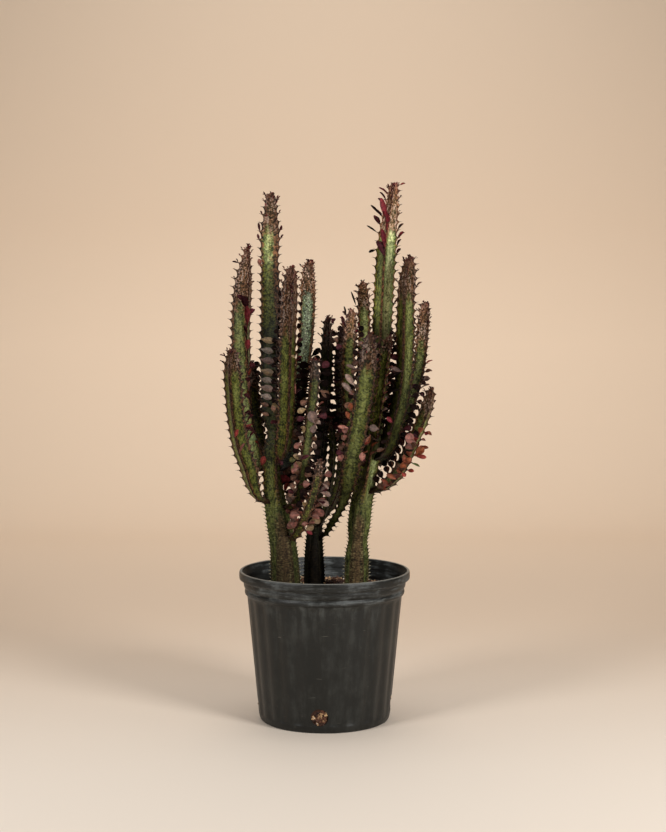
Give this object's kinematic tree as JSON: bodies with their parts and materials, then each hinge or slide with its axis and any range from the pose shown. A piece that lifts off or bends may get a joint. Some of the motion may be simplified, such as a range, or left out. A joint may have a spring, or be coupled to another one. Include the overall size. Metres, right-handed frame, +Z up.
{
  "type": "potted euphorbia",
  "caption": "Potted candelabra spurge: upright, toothed, three-winged stems with small reddish leaves, rooted in bark mix in a fluted black nursery pot.",
  "frame": {"origin": "centre of the pot's flat base, on the surface that the pot stands on", "axes": "+Z up along the pot's axis; -Y is the front, the side that the picture shows; +X to the right"},
  "size_m": [0.3262, 0.26, 0.814],
  "materials": {
    "pot_plastic": "black blow-moulded polyethylene, dusty and a little scuffed",
    "potting_mix": "damp bark chips with a few grains of perlite",
    "stem": "waxy succulent skin, dark green with paler bands and purple-brown edges"
  },
  "bodies": {
    "root": {"pot": "pot_plastic", "soil": "potting_mix", "left_trunk": "stem", "middle_trunk": "stem", "right_trunk": "stem", "left_arm_low_outer": "stem", "left_arm_back_outer": "stem", "left_arm_shaded": "stem", "left_arm_front": "stem", "left_arm_back": "stem", "left_arm_slim": "stem", "left_arm_short": "stem", "middle_arm_slim": "stem", "middle_arm_front": "stem", "middle_arm_right": "stem", "right_arm_front": "stem", "right_arm_outer": "stem", "right_arm_low_outer": "stem", "right_arm_back": "stem", "right_arm_left": "stem", "right_arm_short": "stem"}
  },
  "joints": []
}
